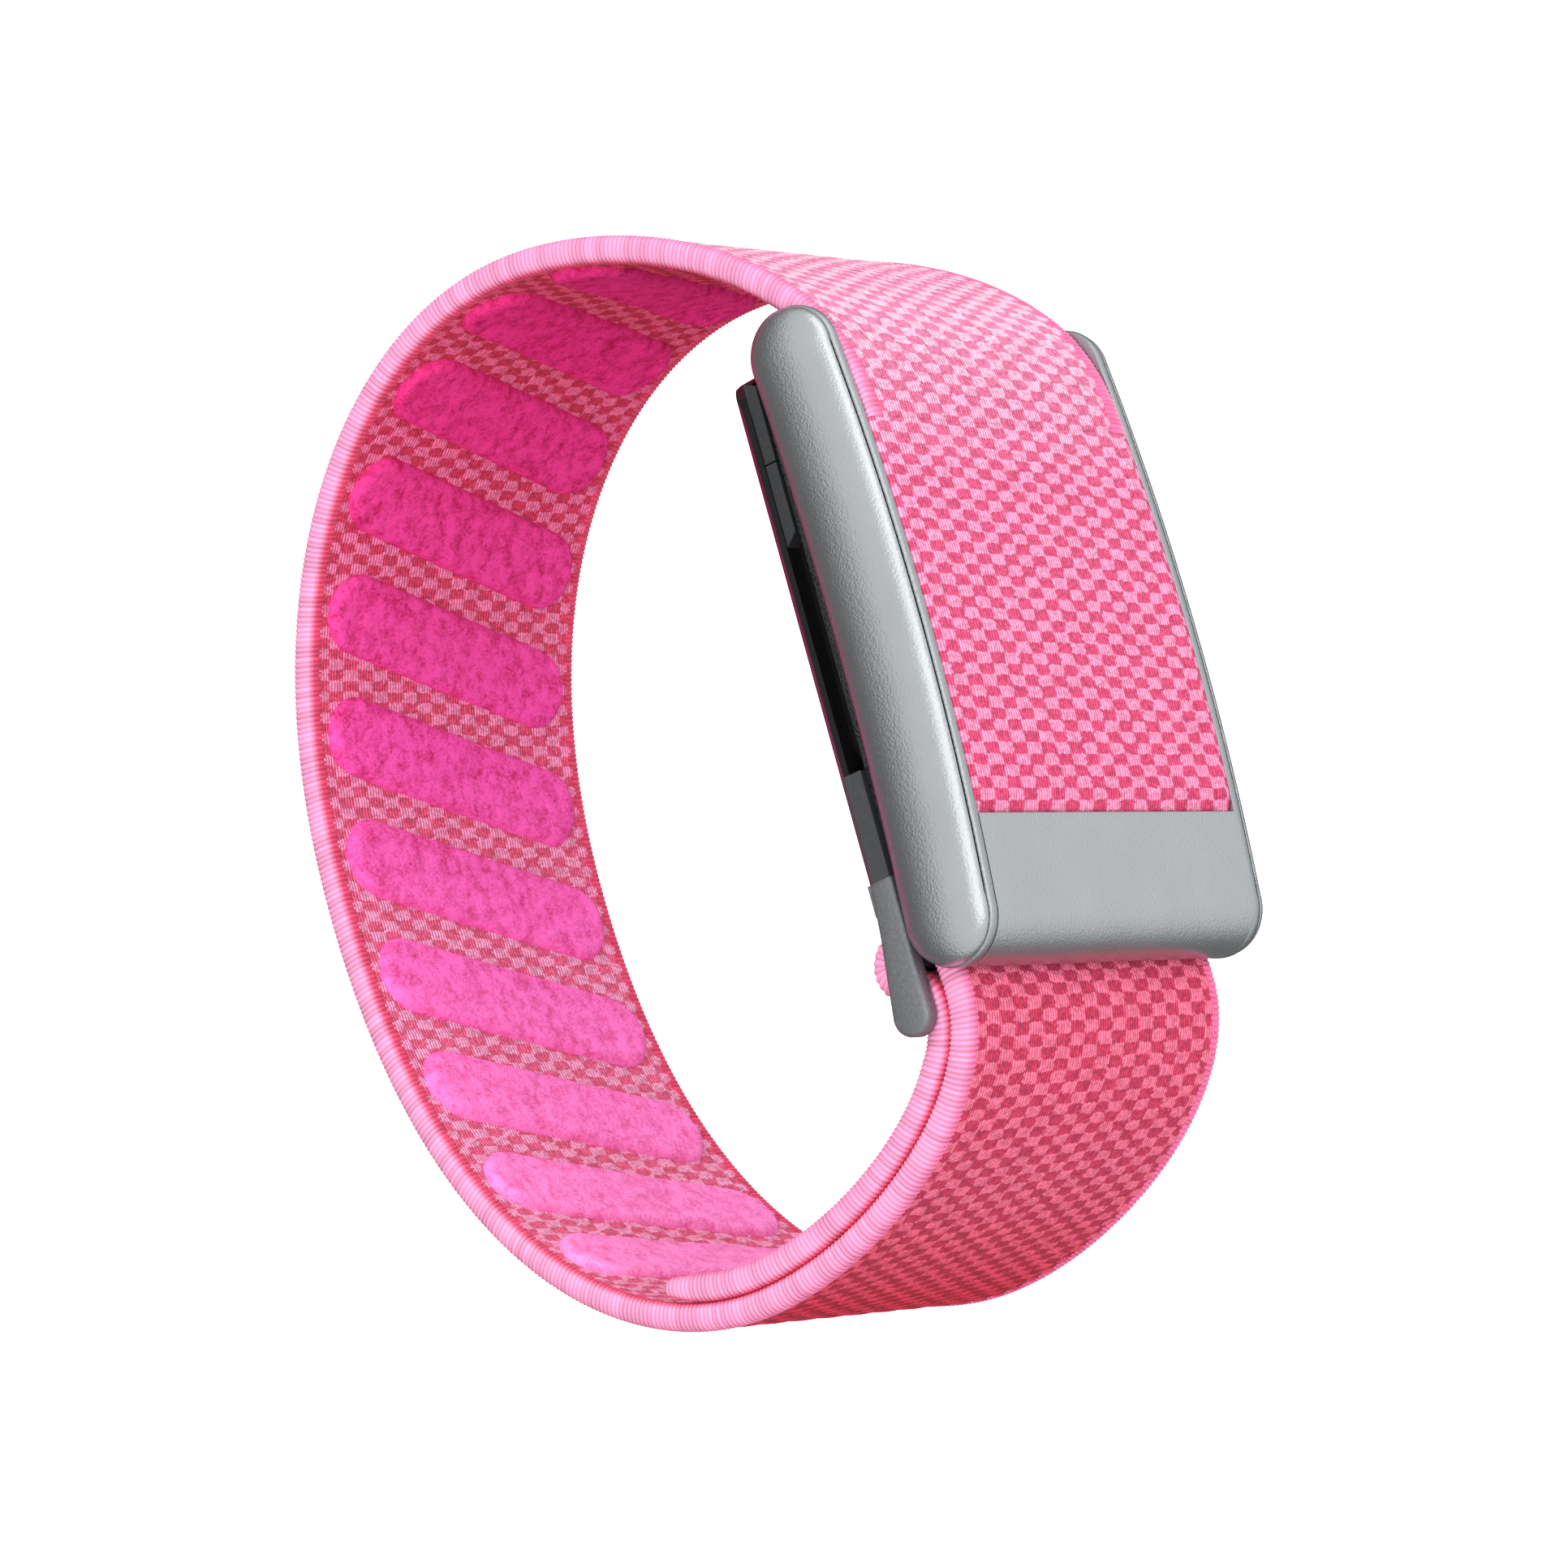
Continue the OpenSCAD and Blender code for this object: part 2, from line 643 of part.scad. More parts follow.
// Stiff tab bonded under the strap's end and riveted to the front plate
module strap_end_tab() {
    color("#55585a") difference() {
        union() {
            mid_box(tab_x, tab_end, band_w / 2 - 2, tab_z - 0.45, tab_z);
            mid_box(tab_x, plate_x - slide_gap, band_w / 2 - 2, tab_z - 0.1,
                band_z - band_t / 2 - arc_drop(plate_x, crown_r) - 0.02);
        }
        rivet_rods(0.4);
    }
}

module rivet_rods(r) {
    for (y = [-7, 0, 7]) translate([plate_x + 1.5, y, tab_z - 0.45]) cylinder(r = r, h = 1.1);
}

module tab_rivets() {
    color("#a3a6a8") {
        rivet_rods(0.4);
        for (y = [-7, 0, 7]) translate([plate_x + 1.5, y, tab_z - head_drop])
            cylinder(r = 0.7, h = 0.3);
    }
}

lower_case();
upper_case();
case_gasket();
end_cap();
sensor_window();
light_baffle();
inner_frame();
sensor_board();
sensor_leds();
photodiodes();
main_board();
main_chips();
shield_can();
battery_cell();
battery_flex();
haptic_motor();
antenna();
charge_contacts();
skin_temp_sensor();
hinge_carrier();
snap_tongues();
buckle_frame();
buckle_screws();
strap_bar();
strap_loop();
grip_pads();
hook_patch();
frame_left();
frame_right();
cover_left();
cover_right();
front_plate();
hinge_pins();
frame_screws();
strap_front();
strap_end_tab();
tab_rivets();
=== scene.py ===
import json
import math

import bpy
import numpy as np
from mathutils import Matrix, Vector


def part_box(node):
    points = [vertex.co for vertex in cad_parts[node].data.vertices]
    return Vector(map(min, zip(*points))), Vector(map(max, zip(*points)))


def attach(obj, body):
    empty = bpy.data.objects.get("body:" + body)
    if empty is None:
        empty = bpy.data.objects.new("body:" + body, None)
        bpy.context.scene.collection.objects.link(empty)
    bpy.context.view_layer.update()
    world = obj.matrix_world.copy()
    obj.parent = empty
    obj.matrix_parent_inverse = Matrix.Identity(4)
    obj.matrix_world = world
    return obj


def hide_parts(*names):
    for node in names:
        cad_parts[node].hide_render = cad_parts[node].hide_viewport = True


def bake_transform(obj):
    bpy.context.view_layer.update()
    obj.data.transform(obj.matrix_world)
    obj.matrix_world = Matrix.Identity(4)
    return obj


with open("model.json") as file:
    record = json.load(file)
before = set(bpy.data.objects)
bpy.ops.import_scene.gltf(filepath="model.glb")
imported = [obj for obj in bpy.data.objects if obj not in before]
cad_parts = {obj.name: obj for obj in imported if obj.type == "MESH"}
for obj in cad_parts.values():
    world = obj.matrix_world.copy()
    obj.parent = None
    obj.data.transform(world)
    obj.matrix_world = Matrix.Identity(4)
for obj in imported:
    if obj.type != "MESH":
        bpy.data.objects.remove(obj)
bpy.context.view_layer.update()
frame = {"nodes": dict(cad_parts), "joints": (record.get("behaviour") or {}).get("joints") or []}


# ---- Camera ----
# A long lens on the near side of the wrist looks down on the clasp. It is rolled so that the
# strap's loop lies to the left of the clasp and the hinge end points up.
SENSOR_WIDTH, LENS_ANGLE = 36, 14.21
CAMERA_PLACE = (0.07876, -0.28376, 0.22007)
camera = bpy.data.objects.new("camera", bpy.data.cameras.new("camera"))
bpy.context.scene.collection.objects.link(camera)
bpy.context.scene.camera = camera
camera.data.sensor_width = SENSOR_WIDTH
camera.data.angle = math.radians(LENS_ANGLE)
camera_back = Vector((0.2094, -0.7774, 0.5931)).normalized()
camera_right = Vector((-0.9432, -0.0006, 0.3322)).cross(camera_back).normalized()
camera.matrix_world = (Matrix.Translation(CAMERA_PLACE)
    @ Matrix((camera_right, camera_back.cross(camera_right), camera_back)).transposed().to_4x4())


# ---- Floor and studio light ----
# A plain white floor well under the band, with a glow of its own so that it stays pale in every
# view. A soft white room, brighter overhead and on the near side, and four soft boxes.
def linear(colour):
    """Linear red, green, blue and alpha of an sRGB hex colour: ((c + 0.055) / 1.055) ** 2.4."""
    c = np.array([int(colour[i:i + 2], 16) for i in (1, 3, 5)]) / 255
    c = np.where(c < 0.04045, c / 12.92, ((c + 0.055) / 1.055) ** 2.4)
    return (*c.tolist(), 1)


def add(tree, kind, inputs=None, stops=(), **settings):
    """Adds one node. settings are its properties; inputs are values, or sockets to link from;
    stops are a colour ramp's positions and sRGB hex colours."""
    node = tree.nodes.new(kind)
    for name, value in settings.items():
        setattr(node, name, value)
    for name, value in (inputs or {}).items():
        if isinstance(value, bpy.types.NodeSocket):
            tree.links.new(value, node.inputs[name])
        else:
            node.inputs[name].default_value = value
    if stops:
        points = node.color_ramp.elements
        while len(points) < len(stops):
            points.new(0.5)
        for point, (position, colour) in zip(points, stops):
            point.position, point.color = position, linear(colour)
    return node


def material(name, **sockets):
    """A new material, its node tree and its shader, with the shader's named sockets set."""
    made = bpy.data.materials.new(name)
    made.use_nodes = True
    shader = made.node_tree.nodes["Principled BSDF"]
    for socket, value in sockets.items():
        shader.inputs[socket.replace("_", " ")].default_value = value
    return made, made.node_tree, shader


FLOOR_HALF, FLOOR_Z = 40, -0.16
floor_paint, _, _ = material("matt_white_paint", Base_Color=linear("#f4f4f4"), Roughness=0.9,
    Emission_Color=(1, 1, 1, 1), Emission_Strength=0.6)
floor_mesh = bpy.data.meshes.new("floor")
floor_mesh.from_pydata([(x * FLOOR_HALF, y * FLOOR_HALF, FLOOR_Z)
    for x, y in ((-1, -1), (1, -1), (1, 1), (-1, 1))], [], [(0, 1, 2, 3)])
floor_mesh.materials.append(floor_paint)
floor = bpy.data.objects.new("floor", floor_mesh)
bpy.context.scene.collection.objects.link(floor)
floor.visible_glossy = False
floor.visible_diffuse = False
floor.visible_shadow = False

# Each soft box's place, width and height in metres, and its power in watts
LIGHTS = {
    "overhead": ((0.05, -0.20, 0.75), 0.8, 0.8, 1.9),
    "hinge_end": ((-0.50, 0.10, 0.55), 0.6, 0.6, 1.2),
    "loop_side": ((-0.50, -0.50, 0.10), 0.5, 0.5, 2.6),
    "near_side": ((0.15, -0.60, 0.25), 0.6, 0.5, 2.2),
}
for name, (place, width, height, power) in LIGHTS.items():
    lamp = bpy.data.objects.new(name, bpy.data.lights.new(name, "AREA"))
    lamp.data.shape = "RECTANGLE"
    lamp.data.size, lamp.data.size_y, lamp.data.energy = width, height, power
    lamp.location = place
    lamp.rotation_mode = "QUATERNION"
    lamp.rotation_quaternion = Vector(place).to_track_quat("Z", "Y")
    lamp.visible_glossy = name not in ("loop_side", "near_side")
    bpy.context.scene.collection.objects.link(lamp)
world = bpy.data.worlds.new("studio")
bpy.context.scene.world = world
world.use_nodes = True
ray = add(world.node_tree, "ShaderNodeTexCoord").outputs["Generated"]
sky = add(world.node_tree, "ShaderNodeVectorMath", {0: ray, 1: (0, -0.45, 1)},
    operation="DOT_PRODUCT")
above = add(world.node_tree, "ShaderNodeMapRange", {"Value": sky.outputs["Value"],
    "From Min": -0.34, "From Max": 0.02, "To Min": 0.2, "To Max": 0.98})
world.node_tree.nodes["Background"].inputs["Color"].default_value = (1, 1, 1, 1)
world.node_tree.links.new(above.outputs[0], world.node_tree.nodes["Background"].inputs["Strength"])
bpy.context.scene.view_settings.view_transform = "Standard"


# ---- Knit strap ----
# A flat band of two-colour double-faced knit, 24 mm wide and 1.5 mm thick. It runs over the pod
# inside the clasp, round the wrist, through the buckle, round its bar and back inside the loop.
def bezier(a, b, c, d, n=80):
    """Cubic curve from a to d with handles b and c, without its first point: the sum of each
    point times (1-u)^3, 3(1-u)^2 u, 3(1-u)u^2 and u^3."""
    u = np.linspace(0, 1, n + 1)[1:, None]
    a, b, c, d = (np.array(p, float) for p in (a, b, c, d))
    return (1 - u) ** 3 * a + 3 * (1 - u) ** 2 * u * b + 3 * (1 - u) * u ** 2 * c + u ** 3 * d


def corners(node):
    """Lowest and highest corner of a CAD node, in millimetres."""
    lo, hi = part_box(node)
    return np.array(lo) * 1000, np.array(hi) * 1000


hinge_x, _, hinge_z = (v * 1000 for v in frame["joints"][0]["pos_m"])
rim_z = corners("frame_left")[1][2]
plate_x = corners("front_plate")[0][0]
bar_lo, bar_hi = corners("strap_bar")
bar_x, bar_z = (bar_lo[0] + bar_hi[0]) / 2, bar_lo[2] + (bar_hi[0] - bar_lo[0]) / 2
loop_lo, loop_hi = corners("strap_loop")
# The strap's half width and thickness, the radius of the clasp's long crown, how far the tail
# lies inside the loop, and the radius of the fold round the bar, with 0.05 mm of room
band_half, band_t, crown_r, tail_off = loop_hi[1], 1.5, 160, 1.65
fold_r = (bar_hi[0] - bar_lo[0]) / 2 + 0.05 + band_t / 2


def crown_drop(x):
    """Fall of the clasp's long crown from its middle: r - sqrt(r^2 - x^2)."""
    return crown_r - np.sqrt(crown_r ** 2 - x ** 2)


def side_of(line):
    """Unit normals of a flat line, on its left hand seen from -Y: the tangent turned a quarter."""
    t = np.gradient(line, axis=0)
    t /= np.linalg.norm(t, axis=1)[:, None]
    return np.stack([t[:, 1], -t[:, 0]], 1)


# The same curves as the solid strap's, with the same handles: over the pod, round the wrist, the
# turn to the bar, the fold and the tail
over_pod_x = np.linspace(plate_x - 0.1, hinge_x + 4.35, 90)
shoulder = np.array([over_pod_x[-1], rim_z - crown_drop(over_pod_x[-1])])
lean = math.asin(-shoulder[0] / crown_r)
back = np.array([loop_lo[0] + band_t / 2, 1])
front = np.array([loop_hi[0] - band_t / 2, 1])
bottom = np.array([0, loop_lo[2] + band_t / 2])
slot = np.array([bar_x + 2.5, hinge_z - 1.7])
drop = 1 - bottom[1]
round_wrist = np.concatenate([
    bezier(shoulder, shoulder - 10 * np.array([math.cos(lean), math.sin(lean)]), back + [0, 9.5],
        back),
    bezier(back, back - [0, 0.51 * drop], bottom + [0.64 * back[0], 0], bottom),
    bezier(bottom, bottom + [0.7 * front[0], 0], front - [0, 0.45 * drop], front),
    bezier(front, front + [0, 8.4], slot + [6.5, 0], slot)])
turn = bezier(slot, slot - [2.8, 0], [bar_x - fold_r, bar_z + 2.7], [bar_x - fold_r, bar_z + 0.3],
    30)
fold_a = np.radians(np.linspace(180, 360, 40))
fold = np.stack([bar_x + fold_r * np.cos(fold_a), bar_z + fold_r * np.sin(fold_a)], 1)
inside = (round_wrist - tail_off * side_of(round_wrist))[round_wrist[:, 0] > 0][::-1]
inside = inside[(inside[:, 1] > -5) & (inside[:, 1] < bar_z + 0.2)]
rise = bezier(fold[-1], fold[-1] + [0, 2], inside[0] + [-1.9, 1.75], inside[0], 30)
over_pod = np.stack([over_pod_x, rim_z - crown_drop(over_pod_x)], 1)
over_pod[:, 1] -= 0.35 * np.clip((over_pod_x - plate_x + 1.6) / 1.5, 0, 1) ** 2
strap_line = np.concatenate([over_pod, round_wrist, turn, fold, rise[:-1], inside])
strap_s = np.concatenate([[0], np.cumsum(np.linalg.norm(np.diff(strap_line, axis=0), axis=1))])
shoulder_s = strap_s[len(over_pod) - 1]
wrist_s = strap_s[len(over_pod) + len(round_wrist) - 1]
strap_end = strap_s[-1]
strap_side = side_of(strap_line)


def on_strap(s, y, off):
    """Points on the strap: s along its line, y across it, off outwards, all in millimetres."""
    line = [np.interp(s, strap_s, strap_line[:, i]) for i in (0, 1)]
    side = [np.interp(s, strap_s, strap_side[:, i]) for i in (0, 1)]
    return np.stack([line[0] + off * side[0], y + 0 * line[0], line[1] + off * side[1]], -1)


def surface(name, points, u, v, wrap=True, sharp=None):
    """A piece from a grid of points in millimetres: rows along u, columns along v, with u and v
    as its UV map. wrap joins the last column to the first and closes both ends, and such a
    piece is turned so that the volume its faces hold is positive."""
    rows, cols = points.shape[:2]
    at = np.arange(rows * cols).reshape(rows, cols)
    if wrap:
        at = np.concatenate([at, at[:, :1]], 1)
    quads = np.stack([at[:-1, :-1], at[1:, :-1], at[1:, 1:], at[:-1, 1:]], -1).reshape(-1, 4)
    uv = np.stack(np.meshgrid(u, v, indexing="ij"), -1)
    uv_quads = np.stack([uv[:-1, :-1], uv[1:, :-1], uv[1:, 1:], uv[:-1, 1:]], 2).reshape(-1, 4, 2)
    flat = points.reshape(-1, 3) / 1000
    caps, uv_caps = [], []
    if wrap:
        caps = [at[0, :-1], at[-1, :-1][::-1]]
        uv_caps = [uv[0, :-1], uv[-1, :-1][::-1]]
        a, b, c, d = (flat[quads[:, i]] for i in range(4))
        held = np.sum(a * np.cross(b, c)) + np.sum(a * np.cross(c, d))
        for cap in caps:
            held += np.sum(flat[cap[0]] * np.cross(flat[cap[1:-1]], flat[cap[2:]]))
        if held < 0:
            quads, uv_quads = quads[:, ::-1], uv_quads[:, ::-1]
            caps, uv_caps = [c[::-1] for c in caps], [c[::-1] for c in uv_caps]
    mesh = bpy.data.meshes.new(name)
    mesh.from_pydata(flat, [], quads.tolist() + [c.tolist() for c in caps])
    corner_uv = np.concatenate([uv_quads.reshape(-1, 2), *uv_caps])
    mesh.uv_layers.new(name="UVMap").data.foreach_set("uv", corner_uv.astype(np.float32).ravel())
    mesh.polygons.foreach_set("use_smooth", np.ones(len(mesh.polygons), bool))
    if sharp:
        mesh.set_sharp_from_angle(angle=math.radians(sharp))
    piece = bpy.data.objects.new(name, mesh)
    bpy.context.scene.collection.objects.link(piece)
    return piece


# One check and one stitch of the knit, along the strap and across it, in millimetres
CELL_S, CELL_Y = 0.65, 1.29
COURSE, WALE = 0.17, 0.2335


def knit(name, dye_and_painted_light):
    """Two-colour polyester knit, yarn 0.23 mm thick: checks of 1.3 by 0.65 mm where each yarn
    comes to the face in turn. Soft and matt, with fine ribs along the strap and a pale fuzz.
    The last argument lists the distance along the strap and the pale and deep yarn's colour there;
    its change along the strap is painted light and shade."""
    made, tree, shader = material(name, Roughness=0.85, Sheen_Weight=0.1, Sheen_Roughness=0.45,
        Sheen_Tint=linear("#ffd0e4"), Specular_IOR_Level=0.15)
    uv = add(tree, "ShaderNodeTexCoord").outputs["UV"]
    axis = add(tree, "ShaderNodeSeparateXYZ", {0: uv}).outputs
    # Stitch numbers along and across give each stitch its own shade
    wale = add(tree, "ShaderNodeMath", {0: axis[1], 1: WALE}, operation="DIVIDE")
    wale_no = add(tree, "ShaderNodeMath", {0: wale.outputs[0]}, operation="FLOOR")
    course = add(tree, "ShaderNodeMath", {0: axis[0], 1: COURSE}, operation="DIVIDE")
    half = add(tree, "ShaderNodeMath", {0: wale_no.outputs[0], 1: 0.5, 2: course.outputs[0]},
        operation="MULTIPLY_ADD")
    course_no = add(tree, "ShaderNodeMath", {0: half.outputs[0]}, operation="FLOOR")
    stitch = add(tree, "ShaderNodeCombineXYZ", {0: course_no.outputs[0], 1: wale_no.outputs[0]})
    shade = add(tree, "ShaderNodeTexWhiteNoise", {"Vector": stitch.outputs[0]},
        noise_dimensions="2D")
    # The checks: the product of two sines, with its edge broken by the stitches
    along = add(tree, "ShaderNodeMath", {0: axis[0], 1: math.pi / CELL_S}, operation="MULTIPLY")
    across = add(tree, "ShaderNodeMath", {0: axis[1], 1: math.pi / CELL_Y}, operation="MULTIPLY")
    wave_s = add(tree, "ShaderNodeMath", {0: along.outputs[0]}, operation="SINE")
    wave_y = add(tree, "ShaderNodeMath", {0: across.outputs[0]}, operation="SINE")
    check = add(tree, "ShaderNodeMath", {0: wave_s.outputs[0], 1: wave_y.outputs[0]},
        operation="MULTIPLY")
    broken = add(tree, "ShaderNodeMath", {0: shade.outputs["Value"], 1: 0.22, 2: check.outputs[0]},
        operation="MULTIPLY_ADD")
    face = add(tree, "ShaderNodeMapRange", {"Value": broken.outputs[0],
        "From Min": 0.0, "From Max": 0.24})
    far = add(tree, "ShaderNodeMath", {0: axis[0], 1: strap_end}, operation="DIVIDE").outputs[0]
    pale, deep = (add(tree, "ShaderNodeValToRGB", {"Fac": far},
        stops=[(row[0] / strap_end, row[i]) for row in dye_and_painted_light]).outputs[0] for i in (1, 2))
    yarn = add(tree, "ShaderNodeMix", {"Factor": face.outputs[0], "A": deep, "B": pale},
        data_type="RGBA")
    tone = add(tree, "ShaderNodeMapRange", {"Value": shade.outputs["Value"],
        "To Min": 0.72, "To Max": 1.22})
    # Ribs along the strap and a slanted stitch in each, with painted shade in the grooves between
    # the yarns and a painted highlight on their crests
    rib_a = add(tree, "ShaderNodeMath", {0: wale.outputs[0], 1: 2 * math.pi}, operation="MULTIPLY")
    rib = add(tree, "ShaderNodeMath", {0: rib_a.outputs[0]}, operation="COSINE")
    loop_a = add(tree, "ShaderNodeMath", {0: half.outputs[0], 1: 2 * math.pi}, operation="MULTIPLY")
    loop_h = add(tree, "ShaderNodeMath", {0: loop_a.outputs[0]}, operation="SINE")
    yarns = add(tree, "ShaderNodeMath", {0: loop_h.outputs[0], 1: -0.35, 2: rib.outputs[0]},
        operation="MULTIPLY_ADD")
    groove = add(tree, "ShaderNodeMapRange", {"Value": yarns.outputs[0],
        "From Min": 1.1, "From Max": -0.9, "To Min": 0.58, "To Max": 1.14})
    lit = add(tree, "ShaderNodeMath", {0: tone.outputs[0], 1: groove.outputs[0]},
        operation="MULTIPLY")
    colour = add(tree, "ShaderNodeVectorMath", {0: yarn.outputs[2], "Scale": lit.outputs[0]},
        operation="SCALE")
    tree.links.new(colour.outputs[0], shader.inputs["Base Color"])
    height = add(tree, "ShaderNodeMath", {0: yarns.outputs[0], 1: -1}, operation="MULTIPLY")
    bump = add(tree, "ShaderNodeBump", {"Strength": 0.6, "Distance": 0.00006,
        "Height": height.outputs[0]})
    tree.links.new(bump.outputs[0], shader.inputs["Normal"])
    return made


# The colours along the strap are painted light and shade: palest at the hinge end, which faces
# the light, and deepest below the clasp, in shade. The wrist face is painted deep coral in the
# shade under the pod and pale pink towards the bottom of the loop, which faces up.
outer_knit = knit("knit_outer_face", [
    (0, "#fd90b6", "#dc4672"), (shoulder_s - 4, "#ff9cc2", "#e25480"),
    (shoulder_s + 8, "#ffc4dc", "#f088b0"), (wrist_s - 45, "#ff4c6e", "#cc2240"),
    (wrist_s - 24, "#fa2e50", "#bc1028"), (wrist_s - 12, "#fb7290", "#cc385a"),
    (strap_end, "#fa7898", "#d03c5e")])
inner_knit = knit("knit_wrist_face", [
    (shoulder_s, "#ec3450", "#b80e24"), (shoulder_s + 24, "#fc4c72", "#cc1a36"),
    (shoulder_s + 50, "#ff7cac", "#e43c62"), (shoulder_s + 80, "#ffa4cc", "#f46890"),
    (wrist_s, "#fb9ab8", "#da5478"), (strap_end, "#fb9ab8", "#da5478")])
# The flat middle ends under the edge's rib
web_half = band_half - 0.5


def free(s):
    """How far the strap has left the clasp: 0 over the pod, 1 past the hinge, smooth between."""
    u = np.clip((s - shoulder_s + 1) / 9, 0, 1)
    return u * u * (3 - 2 * u)


def thin(s):
    """The strap's free end is pressed to 65% of its thickness over its last 3 mm."""
    return 1 - 0.35 * np.clip((s - strap_end + 3) / 3, 0, 1) ** 2


def outer_rise(s):
    """Height of the outer face over the strap's line: pressed level with the rims on the pod."""
    return (0.14 + 0.58 * free(s)) * thin(s)


def web(name, s0, s1):
    """The strap's flat middle between two distances along it: a closed tube whose outer and
    wrist faces stand half the thickness off the line, raised by 0.05 mm times the product of two
    sines where a pale check lies. Inside the clasp it is tucked down 0.2 mm at the rims."""
    s = np.arange(s0, s1 + CELL_S / 6, CELL_S / 3)
    s = np.append(s[s < s1 - 0.01], s1)
    y = np.linspace(-web_half, web_half, 55)
    relief = 0.05 * np.sin(math.pi * s / CELL_S)[:, None] * np.sin(math.pi * y / CELL_Y)
    tucked = (1 - free(s))[:, None] * 0.2 * np.clip((np.abs(y) - 9.5) / 2, 0, 1) ** 2
    outer = on_strap(s[:, None], y, outer_rise(s)[:, None] - tucked + relief)
    inner = on_strap(s[:, None], y[::-1], -(0.72 * thin(s)[:, None] + relief[:, ::-1]))
    v = np.concatenate([y, y[::-1], y[:1]])
    piece = surface(name, np.concatenate([outer, inner], 1), s, v)
    piece.data.materials.append(outer_knit)
    piece.data.materials.append(inner_knit)
    column = np.tile(np.arange(len(v) - 1) >= len(y), len(s) - 1)
    piece.data.polygons.foreach_set("material_index", np.append(column, [0, 0]).astype(np.int32))
    return piece


bend_start, bend_end = shoulder_s - 0.5, shoulder_s + 15
webs = [web("strap_over_pod", 0, bend_start), web("strap_bend", bend_start, bend_end),
    web("strap_round_wrist", bend_end, strap_end)]


def hang(over, bend, wrist):
    """Three lengths of one strap part: on the clasp, across the hinge, and on the pod's body.
    The first is attached to the clasp and the last to the pod's body; the middle one is left where
    it lies."""
    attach(over, "clasp")
    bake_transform(bend)
    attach(wrist, "pod_and_strap")


hang(*webs)
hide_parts("strap_front")
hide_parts("strap_loop")


# ---- Overlocked edges ----
# Both long edges of the knit are turned and overlocked: one yarn wraps the edge in close turns
# and makes a firm rounded rib, painted pale pink outside and coral where it reaches the wrist face,
# as painted light and shade.

# Millimetres between two turns, how many turns one crosses on its slant, and how deep they lie
TURN_PITCH, TURN_SLANT, TURN_DEPTH = 0.3, 1.6, 0.05


def edge_yarn():
    """Polyester overlock thread, matt, in turns 0.3 mm apart with a shadow between them. The real
    thread is 0.2 mm thick, and is drawn coarser so that it shows."""
    made, tree, shader = material("overlock_thread", Roughness=0.75, Sheen_Weight=0.15,
        Sheen_Roughness=0.4, Sheen_Tint=linear("#ffe0f0"), Specular_IOR_Level=0.2)
    uv = add(tree, "ShaderNodeTexCoord").outputs["UV"]
    axis = add(tree, "ShaderNodeSeparateXYZ", {0: uv}).outputs
    # v runs from 0 at the outer seam, over the edge at 0.5, to 1 at the wrist seam
    # The thread's colour round the rib is painted light and shade: palest where the rib faces
    # outwards, coral on its wrist side.
    thread = add(tree, "ShaderNodeValToRGB", {"Fac": axis[1]}, stops=[(0, "#ee5f8e"),
        (0.22, "#f06f9e"), (0.38, "#f695be"), (0.6, "#f69ec6"), (0.7, "#ea4f74"), (1, "#e2405f")])
    turns = add(tree, "ShaderNodeMath", {0: axis[0], 1: TURN_PITCH}, operation="DIVIDE")
    slant = add(tree, "ShaderNodeMath", {0: axis[1], 1: TURN_SLANT, 2: turns.outputs[0]},
        operation="MULTIPLY_ADD")
    turn_no = add(tree, "ShaderNodeMath", {0: slant.outputs[0]}, operation="FLOOR")
    phase = add(tree, "ShaderNodeMath", {0: slant.outputs[0], 1: 2 * math.pi}, operation="MULTIPLY")
    crest = add(tree, "ShaderNodeMath", {0: phase.outputs[0]}, operation="COSINE")
    shade = add(tree, "ShaderNodeTexWhiteNoise", {"W": turn_no.outputs[0]}, noise_dimensions="1D")
    mixed = add(tree, "ShaderNodeMath", {0: shade.outputs["Value"], 1: -1.6, 2: crest.outputs[0]},
        operation="MULTIPLY_ADD")
    tone = add(tree, "ShaderNodeMapRange", {"Value": mixed.outputs[0],
        "From Min": -2.2, "From Max": 1, "To Min": 1.06, "To Max": 0.52})
    colour = add(tree, "ShaderNodeVectorMath", {0: thread.outputs[0], "Scale": tone.outputs[0]},
        operation="SCALE")
    tree.links.new(colour.outputs[0], shader.inputs["Base Color"])
    return made


overlock = edge_yarn()
EDGE_MIDDLE, EDGE_HALF = band_half - 0.64, 0.65


def edge(name, s0, s1, side, wound=True):
    """A rounded rib round one edge: a squared ellipse 1.3 mm wide and 1.64 mm high carried along
    the strap, and 5% smaller between the turns of the thread, which lie on a slant. Inside the
    clasp no thread shows, and the face of the knit runs on to the rim."""
    s = np.arange(s0, s1, TURN_PITCH / 5)
    s = np.append(s[s < s1 - 0.01], s1)
    a = np.linspace(0, 2 * math.pi, 17)[:-1]
    turns = s[:, None] / TURN_PITCH + TURN_SLANT * a / (2 * math.pi)
    wave = 1 - TURN_DEPTH * wound * np.cos(2 * math.pi * turns)
    across = -np.sign(np.cos(a)) * np.abs(np.cos(a)) ** 0.8
    up = np.sign(np.sin(a)) * np.abs(np.sin(a)) ** 0.9
    y = side * (EDGE_MIDDLE + EDGE_HALF * across * wave)
    rise = np.where(up > 0, (outer_rise(s) + 0.08 * wound)[:, None], 0.8 * thin(s)[:, None])
    points = on_strap(s[:, None], y, rise * up * wave)
    v = np.append(a, 2 * math.pi) / (2 * math.pi)
    if not wound:
        v = side * (EDGE_MIDDLE + EDGE_HALF * np.append(across, across[0]))
    piece = surface(name, points, s, v)
    piece.data.materials.append(overlock if wound else outer_knit)
    return piece


for side_name, side in (("near", -1), ("far", 1)):
    hang(edge(f"edge_{side_name}_over_pod", 0, bend_start, side, False),
        edge(f"edge_{side_name}_bend", bend_start, bend_end, side),
        edge(f"edge_{side_name}_round_wrist", bend_end, strap_end, side))
